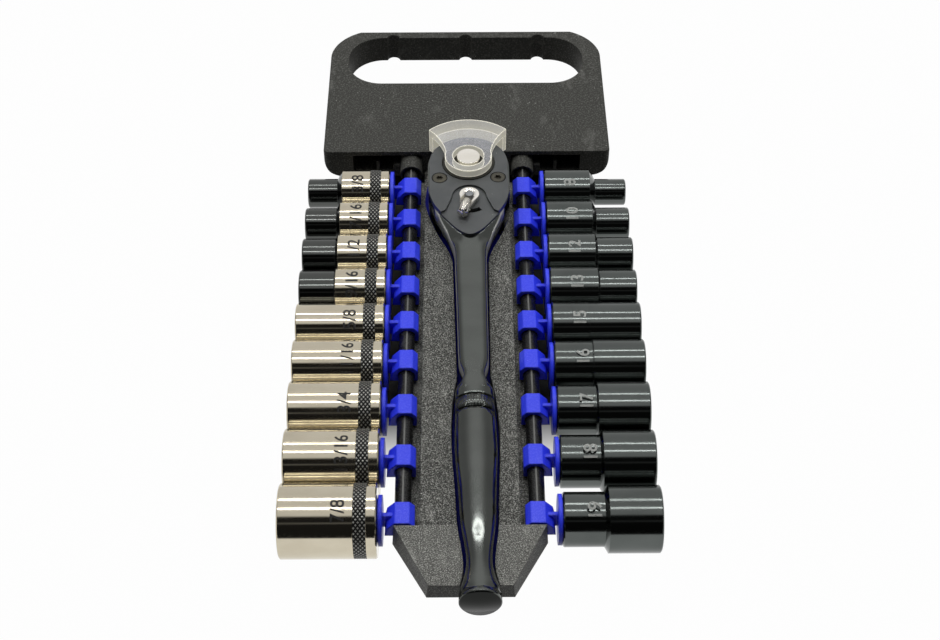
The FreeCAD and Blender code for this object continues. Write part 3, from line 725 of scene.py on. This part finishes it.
@dataclass
class KnurlBand:
    """Diamond knurl round a socket, as a node tree with named sizes."""

    width: float = 5.0 * MM
    start: float = 4.0 * MM
    sunk: float = 0.3 * MM
    height: float = 0.26 * MM
    pitch: float = 2.1 * MM
    rows: int = 6
    proud: float = 0.01 * MM
    sleeve_sides: int = 96
    inputs: dict[str, str] = field(default_factory=dict)

    def tree(self, material: Material) -> NodeTree:
        """Write the node tree.

        Args:
            material: The band's finish.

        Returns:
            The tree.
        """
        tree = bpy.data.node_groups.new("knurl_band", "GeometryNodeTree")
        graph = Graph(tree)
        kinds = dict.fromkeys(("Radius", "Start", "Width", "Height"), "NodeSocketFloat")
        kinds |= {"Count": "NodeSocketInt", "Rows": "NodeSocketInt", "Centre": "NodeSocketVector"}
        for name, kind in kinds.items():
            socket = tree.interface.new_socket(name=name, in_out="INPUT", socket_type=kind)
            self.inputs[name] = socket.identifier
        tree.interface.new_socket(name="Geometry", in_out="OUTPUT", socket_type="NodeSocketGeometry")

        given = graph.node("NodeGroupInput")
        radius, start, width, height, count, rows, centre = (given.other(name) for name in kinds)
        points = graph.node("GeometryNodeMeshLine", {"mode": "OFFSET"}, {"Count": count * rows})
        index = graph.node("GeometryNodeInputIndex")
        row = (index / count).floor()
        turn = (index - row * count + (row % 2) * 0.5) * (2 * math.pi) / count
        place = graph.node("ShaderNodeCombineXYZ", None,
                           {"X": start - (row + 0.5) * width / rows, "Y": turn.cosine() * radius,
                            "Z": turn.sine() * radius})
        outward = graph.node("ShaderNodeCombineXYZ", None, {"Y": turn.cosine(), "Z": turn.sine()})
        placed = graph.node("GeometryNodeSetPosition", None, {"Geometry": points, "Position": place})
        diamond = graph.node("GeometryNodeMeshCone", {"fill_type": "NONE"},
                             {"Vertices": 4, "Radius Top": 0.0, "Radius Bottom": 1.0, "Depth": 1.0}, "Mesh")
        up = graph.node("ShaderNodeSeparateXYZ", None, {0: graph.node("GeometryNodeInputPosition")}, "Z")
        diamond = graph.node("GeometryNodeStoreNamedAttribute", {"data_type": "FLOAT", "domain": "POINT"},
                             {"Geometry": diamond, "Name": "tip", "Value": up})
        facing = graph.node("FunctionNodeAlignRotationToVector", {"axis": "Z"}, {"Vector": outward})
        size = graph.node("ShaderNodeCombineXYZ", None,
                          {"X": width / rows, "Y": radius * math.pi / count, "Z": height})
        teeth = graph.node("GeometryNodeInstanceOnPoints", None,
                           {"Points": placed, "Instance": diamond, "Rotation": facing, "Scale": size})
        sleeve = graph.node("GeometryNodeMeshCylinder", {"fill_type": "NONE"},
                            {"Vertices": self.sleeve_sides, "Radius": radius, "Depth": width}, "Mesh")
        middle = graph.node("ShaderNodeCombineXYZ", None, {"X": start - width / 2})
        sleeve = graph.node("GeometryNodeTransform", None,
                            {"Geometry": sleeve, "Translation": middle, "Rotation": (0, math.pi / 2, 0)})
        both = graph.node("GeometryNodeJoinGeometry", None, {"Geometry": teeth})
        tree.links.new(sleeve.socket, both.node.inputs[0])
        moved = graph.node("GeometryNodeTransform", None, {"Geometry": both, "Translation": centre})
        real = graph.node("GeometryNodeRealizeInstances", None, {"Geometry": moved})
        painted = graph.node("GeometryNodeSetMaterial", None, {"Geometry": real, "Material": material})
        graph.node("NodeGroupOutput", None, {"Geometry": painted})
        return tree

    def build(self, tree: NodeTree, node: str) -> Object:
        """Ring one left socket with its band.

        Args:
            tree: The band's node tree.
            node: The socket's name.

        Returns:
            The band.
        """
        low, high = corners(node)
        middle = (low + high) / 2
        radius = (high.z - low.z) / 2 - self.sunk + self.proud
        piece = linked(node + "_band", bpy.data.meshes.new(node + "_band"))
        modifier = piece.modifiers.new("knurl", "NODES")
        modifier.node_group = tree
        sizes = {"Radius": radius, "Start": high.x - self.start, "Width": self.width,
                 "Height": self.height, "Count": round(2 * math.pi * radius / self.pitch),
                 "Rows": self.rows, "Centre": (0.0, middle.y, middle.z)}
        for name, value in sizes.items():
            modifier[self.inputs[name]] = value
        mesh = plain_mesh(piece)
        piece.modifiers.remove(modifier)
        piece.data = mesh
        return piece


@dataclass
class SizeMark:
    """Etched size number that runs round a socket."""

    height: float = 5.6 * MM
    size_per_height: float = 1.35
    weight: float = 0.09 * MM
    reach: float = 1.25
    lift: float = 0.03 * MM
    finest: float = 0.5 * MM
    halvings: int = 3

    def build(self, node: str, text: str, along: float, turn: float, side: Side,
              material: Material) -> Object:
        """Write one mark.

        Args:
            node: The socket's name.
            text: The number.
            along: Distance of the mark's middle from the drive end.
            turn: Angle of the mark's middle, from the far side up and over.
            side: The socket's row.
            material: The mark's finish.

        Returns:
            The mark.
        """
        low, high = corners(node)
        centre = (low + high) / 2
        radius = (high.z - low.z) / 2 + self.lift
        drive_end = high.x if side is Side.LEFT else low.x
        letters = bpy.data.curves.new(node + "_mark", "FONT")
        letters.body = text
        letters.size = self.height * self.size_per_height
        letters.offset = self.weight
        letters.align_x = "CENTER"
        letters.align_y = "CENTER"
        draft = linked(node + "_draft", letters)
        mesh = plain_mesh(draft)
        bpy.data.objects.remove(draft)
        bent = bmesh.new()
        bent.from_mesh(mesh)
        width = max(vertex.co.x for vertex in bent.verts) - min(vertex.co.x for vertex in bent.verts)
        share = min(1.0, self.reach * radius / width)
        bmesh.ops.scale(bent, vec=(share, share, 1.0), verts=bent.verts[:])
        bmesh.ops.triangulate(bent, faces=bent.faces[:])
        for _ in range(self.halvings):
            long_edges = [edge for edge in bent.edges if edge.calc_length() > self.finest]
            bmesh.ops.subdivide_edges(bent, edges=long_edges, cuts=1)
            bmesh.ops.triangulate(bent, faces=bent.faces[:])
        for vertex in bent.verts:
            angle = turn - vertex.co.x / radius
            vertex.co = Vector((drive_end + side.outward * along - vertex.co.y,
                                centre.y + radius * math.cos(angle), centre.z + radius * math.sin(angle)))
        bmesh.ops.recalc_face_normals(bent, faces=bent.faces[:])
        for face in bent.faces:
            middle = face.calc_center_median() - centre
            if face.normal.dot(Vector((0, middle.y, middle.z))) < 0:
                face.normal_flip()
        bent.to_mesh(mesh)
        bent.free()
        mesh.materials.clear()
        mesh.materials.append(material)
        return linked(node + "_mark", mesh)


@dataclass
class SocketRow:
    """Nine sockets of one row, with their marks and bands."""

    side: Side
    sizes: Sequence[str]
    mark_along: float
    mark_turn: float = math.radians(112)
    stepped: int = 4

    def node(self, place: int) -> str:
        """Name of a socket, counted from the carrying handle."""
        return f"{self.side.value}_socket_{place + 1}"

    def dress(self, wardrobe: Wardrobe) -> None:
        """Give the sockets their plating.

        Args:
            wardrobe: The finishes.
        """
        for place in range(len(self.sizes)):
            plating = wardrobe.black_plate
            if self.side is Side.LEFT:
                plating = wardrobe.chrome_dark_nose if place < self.stepped else wardrobe.chrome
            dress([self.node(place)], plating)

    def build(self, wardrobe: Wardrobe) -> None:
        """Make the marks, and the bands of the left row.

        Args:
            wardrobe: The finishes.
        """
        mark = SizeMark()
        ink = wardrobe.ink if self.side is Side.LEFT else wardrobe.etch
        for place, size in enumerate(self.sizes):
            node = self.node(place)
            seated(mark.build(node, size, self.mark_along, self.mark_turn, self.side, ink), node)
        if self.side is Side.LEFT:
            knurl = KnurlBand()
            tree = knurl.tree(wardrobe.band)
            for place in range(len(self.sizes)):
                node = self.node(place)
                seated(knurl.build(tree, node), node)


@dataclass
class Rack:
    """Carrying handle, deck, panel, liner, rails and clips."""

    clips: int = 9

    def dress(self, wardrobe: Wardrobe) -> None:
        """Give the mouldings their finishes.

        Args:
            wardrobe: The finishes.
        """
        dress(["handle_block"], wardrobe.rack)
        dress(["deck"], wardrobe.deck)
        dress(["panel_insert"], wardrobe.panel)
        dress(["left_rail", "right_rail"], wardrobe.rail)
        dress(["blue_liner"], wardrobe.liner)
        for side in Side:
            dress([f"{side.value}_clip_{place + 1}" for place in range(self.clips)], wardrobe.clip)


@dataclass
class WrenchBody:
    """Forged body of the wrench, with a scooped neck and a crowned bar.

    Lengths run from the gear's axis towards the pommel, and heights from the head's underside.
    """

    skew: float = math.radians(0.67)
    head_end: float = 29.0 * MM
    grip_start: float = 126.5 * MM
    overlap: float = 1.0 * MM
    grip_overlap: float = 7.5 * MM
    # share of the half width past which the upper edges take the painted highlight
    edge_highlight_from: float = 0.96
    bar_from: float = 40.0 * MM
    bar_full: float = 52.0 * MM
    crown_round: float = 4.6
    belly_round: float = 6.0
    axis_height: float = 9.5 * MM
    scoop: float = 0.65
    scoop_curve: float = 1.6
    flat_limits: Pair = (0.4, 0.985)
    bunching: float = 0.6
    around: int = 56
    step: float = 0.6 * MM
    outline: Stations = ((17.0, 18.6), (28.7, 15.6), (37.0, 12.7), (44.3, 9.6), (53.0, 7.3), (62.0, 7.05),
                         (90.0, 6.6), (117.0, 6.3), (121.0, 5.9), (124.5, 4.9), (127.0, 4.6), (129.2, 5.2),
                         (131.0, 5.6), (135.0, 5.6))
    cover: Stations = ((20.0, 18.0), (30.0, 15.0), (33.3, 13.1), (39.3, 9.0), (44.6, 4.6), (47.0, 0.6),
                       (49.0, 0.0), (135.0, 0.0))
    crown: Stations = ((20.0, 16.05), (45.0, 16.05), (47.0, 15.93), (50.0, 15.63), (54.0, 15.22),
                       (58.0, 14.86), (61.0, 14.68), (66.0, 14.64), (90.0, 14.75), (116.0, 14.75),
                       (124.5, 14.5), (129.0, 14.3), (135.0, 14.2))
    belly: Stations = ((20.0, 0.0), (22.0, 0.0), (38.9, 4.4), (44.0, 4.4), (116.0, 4.3), (121.0, 4.7),
                       (124.5, 5.4), (129.0, 5.7), (135.0, 5.7))
    origin: Vector = field(init=False)

    def __post_init__(self) -> None:
        """Find the gear's axis and the head's underside in the frame."""
        low, high = corners("drive_gear")
        self.origin = (low + high) / 2
        self.origin.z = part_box("ratchet_handle")[0][2]

    @staticmethod
    def between(stations: Stations, along: float) -> float:
        """Read a smooth line through stations.

        Args:
            stations: Places and values in millimetres, in order.
            along: Place in metres.

        Returns:
            The value there, in metres.
        """
        at = along / MM
        last = len(stations) - 2
        here = next((i for i in range(last + 1) if at <= stations[i + 1][0]), last)
        (x0, y0), (x1, y1) = stations[here], stations[here + 1]
        before = stations[max(here - 1, 0)]
        after = stations[min(here + 2, last + 1)]
        share = (at - x0) / (x1 - x0)
        start = (y1 - before[1]) / (x1 - before[0]) * (x1 - x0)
        end = (after[1] - y0) / (after[0] - x0) * (x1 - x0)
        square, cube = share ** 2, share ** 3
        value = ((2 * cube - 3 * square + 1) * y0 + (cube - 2 * square + share) * start
                 + (3 * square - 2 * cube) * y1 + (cube - square) * end)
        return value * MM

    def section(self, along: float) -> list[Pair]:
        """Outline of the body across its length.

        Args:
            along: Place in metres.

        Returns:
            Points of (x, height) in metres, once round from the right side over the top.
        """
        half = self.between(self.outline, along)
        narrow, wide = self.flat_limits
        flat = min(max(self.between(self.cover, along) / half, narrow), wide)
        top = self.between(self.crown, along)
        low = self.between(self.belly, along)
        bar = min(max((along - self.bar_from) / (self.bar_full - self.bar_from), 0.0), 1.0)
        bar = bar * bar * (3 - 2 * bar)
        scoop_edge = self.crown[0][1] * MM - self.scoop * half * (1 - flat)
        edge = scoop_edge + (self.axis_height - scoop_edge) * bar
        points = []
        for place in range(self.around):
            turn = 2 * math.pi * place / self.around
            reach = math.copysign(abs(math.cos(turn)) ** self.bunching, math.cos(turn))
            across = abs(reach)
            if math.sin(turn) >= 0:
                crowned = (1 - across ** self.crown_round) ** (1 / self.crown_round)
                scooped = (1 - max(across - flat, 0.0) / (1 - flat)) ** self.scoop_curve
                height = edge + (top - edge) * (scooped + (crowned - scooped) * bar)
            else:
                height = edge - (edge - low) * (1 - across ** self.belly_round) ** (1 / self.belly_round)
            points.append((half * reach, height))
        return points

    def placed(self, x: float, along: float, height: float) -> Vector:
        """Move a point from the wrench's own lengths to the frame."""
        cosine, sine = math.cos(self.skew), math.sin(self.skew)
        return self.origin + Vector((x * cosine + along * sine, x * sine - along * cosine, height))

    def kept(self, body: BMesh, along: float, towards_head: bool) -> None:
        """Add the solid's own head or grip, cut off at a place along the wrench.

        Args:
            body: The mesh that takes it.
            along: Place of the cut.
            towards_head: Whether the head's side is kept.
        """
        part = merged_copy("ratchet_handle")
        normal = self.placed(0.0, 0.0, 0.0) - self.placed(0.0, 1.0, 0.0)
        cut = bmesh.ops.bisect_plane(part, geom=part.verts[:] + part.edges[:] + part.faces[:],
                                     plane_co=self.placed(0.0, along, 0.0), plane_no=normal,
                                     clear_inner=towards_head, clear_outer=not towards_head)
        rim = [item for item in cut["geom_cut"] if isinstance(item, BMEdge)]
        bmesh.ops.triangle_fill(part, use_beauty=True, edges=rim)
        bmesh.ops.recalc_face_normals(part, faces=part.faces[:])
        mesh = bpy.data.meshes.new("kept")
        part.to_mesh(mesh)
        part.free()
        body.from_mesh(mesh)
        bpy.data.meshes.remove(mesh)

    def build(self, material: Material) -> Object:
        """Make the body.

        Args:
            material: Its finish.

        Returns:
            The body, in place of the plain solid.
        """
        body = bmesh.new()
        edge_highlight = body.verts.layers.float.new("edge_highlight")
        start, end = self.head_end - self.overlap, self.grip_start + self.grip_overlap
        count = round((end - start) / self.step)
        rings = []
        for place in range(count + 1):
            along = start + (end - start) * place / count
            section = self.section(along)
            rings.append([body.verts.new(self.placed(x, along, height)) for x, height in section])
            half = section[0][0]
            for vertex, (x, height) in zip(rings[-1], section):
                # mark the outer upper edges for the painted highlight
                vertex[edge_highlight] = float(abs(x) > self.edge_highlight_from * half and height >= section[0][1])
        for near, far in zip(rings, rings[1:]):
            for place in range(self.around):
                after = (place + 1) % self.around
                body.faces.new((near[place], near[after], far[after], far[place]))
        body.faces.new(rings[0])
        body.faces.new(rings[-1])
        bmesh.ops.recalc_face_normals(body, faces=body.faces[:])
        self.kept(body, self.head_end, True)
        self.kept(body, self.grip_start, False)
        piece = forged("wrench_body", body, material)
        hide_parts("ratchet_handle")
        return piece


@dataclass
class SelectorLever:
    """Reversing lever whose thumb tab starts clear of the pin."""

    pin_proud: float = 0.3 * MM
    tab_half: float = 2.45 * MM
    tab_from: float = 3.0 * MM
    shift: float = 2.3 * MM
    near: float = 0.4 * MM
    level: float = 0.02 * MM

    def build(self, material: Material) -> Object:
        """Make the lever.

        Args:
            material: Its finish.

        Returns:
            The lever, in place of the plain solid.
        """
        low, high = corners("lever_pin")
        pivot = (low + high) / 2
        top = high.z - self.pin_proud
        lever = merged_copy("selector_lever")
        far = max(lever.verts, key=lambda vertex: (vertex.co - pivot).xy.length)
        tip = [vertex.co for vertex in lever.verts
               if (vertex.co - pivot).xy.length > (far.co - pivot).xy.length - self.near]
        ahead = (sum(tip, Vector()) / len(tip) - pivot).xy.normalized()
        for vertex in lever.verts:
            away = (vertex.co - pivot).xy
            on_tab = vertex.co.z > top - self.level and abs(ahead.cross(away)) < self.tab_half
            if on_tab and abs(away.dot(ahead) - self.tab_from) < self.near:
                vertex.co.xy += ahead * self.shift
        piece = forged("thumb_lever", lever, material)
        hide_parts("selector_lever")
        return piece


@dataclass
class Wrench:
    """Ratchet wrench and its works."""

    works: Sequence[str] = ("release_spring", "detent_ball", "pawl", "pawl_pin", "pawl_plunger",
                            "plunger_spring")

    def dress(self, wardrobe: Wardrobe) -> None:
        """Give the wrench's pieces their finishes.

        Args:
            wardrobe: The finishes.
        """
        dress(["ratchet_handle"], wardrobe.lacquer)
        dress(["head_cover"], wardrobe.cover)
        dress(["drive_gear"], wardrobe.hub)
        dress(["cover_screws"], wardrobe.screw)
        dress(["release_button", "selector_lever"], wardrobe.bright)
        dress(["lever_pin"], wardrobe.pin)
        dress(self.works, wardrobe.works)
        dress(["clear_retainer"], wardrobe.clear)

    def build(self, wardrobe: Wardrobe) -> None:
        """Make the forged body and the lever."""
        seated(WrenchBody().build(wardrobe.lacquer), "wrench")
        seated(SelectorLever().build(wardrobe.bright), "selector")


@dataclass
class Studio:
    """Camera, lamps, surroundings and floor.

    A strip lamp is given by its angle above the far horizon in degrees, its width and its power.
    """

    lens: float = 63.0
    sensor: float = 36.0
    nearest: float = 0.01
    stand: Triple = (-3.1 * MM, -520.0 * MM, 528.2 * MM)
    pitch: float = math.radians(46.05)
    heading: float = math.radians(-0.45)
    strip_height: float = 1.1
    strip_length: float = 1.5
    strips: Sequence[Triple] = ((66.0, 0.05, 2.6), (96.5, 0.05, 2.4))
    frame_bar: Pair = (0.05, 0.62)
    frame_power: float = 1.2
    fill_size: Pair = (2.0, 0.9)
    fill_power: float = 11.0
    fill_away: float = 0.45
    pale: float = 0.95
    dim: float = 0.015
    room_lean: float = math.radians(24)
    side_fall: float = 0.55
    ledge: float = 0.12
    ledge_angle: float = math.radians(134)
    floor_half: float = 6.0
    floor_drop: float = 0.2 * MM
    floor_glow: float = 0.985
    speck_scale: float = 30.0
    # darkness and extent of the painted shadow on the floor below the rack
    shade: float = 0.8
    painted_shadow_aside: Pair = (44 * MM, 37 * MM)
    painted_shadow_front: Pair = (-105 * MM, -60 * MM)
    painted_shadow_past_block: Pair = (44 * MM, 36 * MM)

    def camera(self) -> None:
        """Stand the camera where the photograph was taken from."""
        data = bpy.data.cameras.new("camera")
        data.lens = self.lens
        data.sensor_width = self.sensor
        data.sensor_fit = "HORIZONTAL"
        data.clip_start = self.nearest
        camera = linked("camera", data)
        camera.location = self.stand
        camera.rotation_euler = (math.pi / 2 - self.pitch, 0.0, self.heading)
        bpy.context.scene.camera = camera

    def lamps(self) -> None:
        """Hang a frame of strip lamps, the long ones at their angles above the far horizon, and a fill."""
        places = []
        for angle, width, power in self.strips:
            away = self.strip_height / math.tan(math.radians(angle))
            places.append(away)
            self.lamp("strip", (0.0, away), (self.strip_length, width), power, math.radians(angle - 90))
        for side in Side:
            x = side.outward * self.strip_length / 2
            self.lamp("frame", (x, sum(places) / 2), self.frame_bar, self.frame_power)
        fill = self.lamp("fill", (0.0, self.fill_away), self.fill_size, self.fill_power)
        fill.visible_glossy = False

    def lamp(self, name: str, place: Pair, size: Pair, power: float, lean: float = 0.0) -> Object:
        """Hang one flat lamp.

        Args:
            name: Its name.
            place: Its place on plan.
            size: Its length along X and along Y.
            power: Its power in watts.
            lean: Its turn about X from facing straight down.

        Returns:
            The lamp.
        """
        data = bpy.data.lights.new(name, "AREA")
        data.shape = "RECTANGLE"
        data.size, data.size_y = size
        data.energy = power
        lamp = linked(name, data)
        lamp.location = (*place, self.strip_height)
        lamp.rotation_euler = (lean, 0.0, 0.0)
        return lamp

    def surroundings(self) -> None:
        """Pale room and a thin ledge beyond the set, dim behind the camera, and white to the camera."""
        world = bpy.data.worlds.new("surroundings")
        world.use_nodes = True
        bpy.context.scene.world = world
        graph = Graph(world.node_tree)
        toward = graph.node("ShaderNodeTexCoord", output="Generated")
        ahead = graph.node("ShaderNodeSeparateXYZ", None, {0: toward}, "Y")
        aside, up = ahead.other("X"), ahead.other("Z")
        beyond = ahead * math.cos(self.room_lean) + up * math.sin(self.room_lean)
        ledge = up * math.cos(self.ledge_angle) - ahead * math.sin(self.ledge_angle)
        pale = self.pale * (1 - abs(aside).rise(0.1, 0.6) * self.side_fall)
        room = self.dim + abs(ledge).rise(0.06, 0.02) * self.ledge + beyond.rise(-0.04, 0.06) * pale
        seen = graph.node("ShaderNodeLightPath", output="Is Camera Ray")
        light = room + seen * (1 - room)
        background = graph.node("ShaderNodeBackground", None, {"Strength": light})
        graph.node("ShaderNodeOutputWorld", None, {"Surface": background})

    def floor(self) -> None:
        """Lay a white floor that keeps the set's shadow and has a painted shadow below the rack."""
        half, height = self.floor_half, -self.floor_drop
        plan = [(-half, -half), (half, -half), (half, half), (-half, half)]
        mesh = bpy.data.meshes.new("floor")
        mesh.from_pydata([(x, y, height) for x, y in plan], [], [(0, 1, 2, 3)])
        paint = Paint("floor_white")
        ray = paint.node("ShaderNodeLightPath", output="Is Camera Ray")
        glow = ray.larger(ray.other("Is Glossy Ray")).larger(ray.other("Is Transmission Ray"))
        speck = paint.noise(self.speck_scale)
        ahead = paint.along("Y")
        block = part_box("handle_block")[0][1]
        # painted shadow: below the rack the floor's colour darkens and its glow is cut
        painted_shadow = abs(paint.along("X")).rise(*self.painted_shadow_aside) * ahead.rise(*self.painted_shadow_front)
        painted_shadow = painted_shadow * ahead.rise(*(block + past for past in self.painted_shadow_past_block))
        pale = paint.mix(speck, tone(98, 98, 97), tone(106, 106, 105))
        matt = paint.node("ShaderNodeBsdfDiffuse", None,
                          {"Color": paint.mix(painted_shadow * self.shade, pale, tone(40, 40, 40))})
        white = paint.node("ShaderNodeEmission", None, {"Color": (1.0, 1.0, 1.0, 1.0), "Strength": 1.0})
        both = paint.node("ShaderNodeMixShader", None,
                          {0: glow * self.floor_glow * (1 - painted_shadow), 1: matt, 2: white})
        paint.node("ShaderNodeOutputMaterial", None, {"Surface": both})
        mesh.materials.append(paint.material)
        floor = linked("floor", mesh)

    def build(self) -> None:
        """Set up the studio."""
        self.camera()
        self.lamps()
        self.surroundings()
        self.floor()
        bpy.context.scene.view_settings.view_transform = "Standard"


def main() -> None:
    """Build the set's looks and its studio."""
    logging.basicConfig(level=logging.INFO, format="%(name)s: %(message)s")
    wardrobe = Wardrobe()
    inch_sizes = ("3/8", "7/16", "1/2", "9/16", "5/8", "11/16", "3/4", "13/16", "7/8")
    metric_sizes = ("8", "10", "12", "13", "15", "16", "17", "18", "19")
    rows = [SocketRow(Side.LEFT, inch_sizes, mark_along=14.5 * MM),
            SocketRow(Side.RIGHT, metric_sizes, mark_along=12.0 * MM)]
    for row in rows:
        row.dress(wardrobe)
        row.build(wardrobe)
    Rack().dress(wardrobe)
    wrench = Wrench()
    wrench.dress(wardrobe)
    wrench.build(wardrobe)
    Studio().build()


if __name__ == "__main__":
    main()
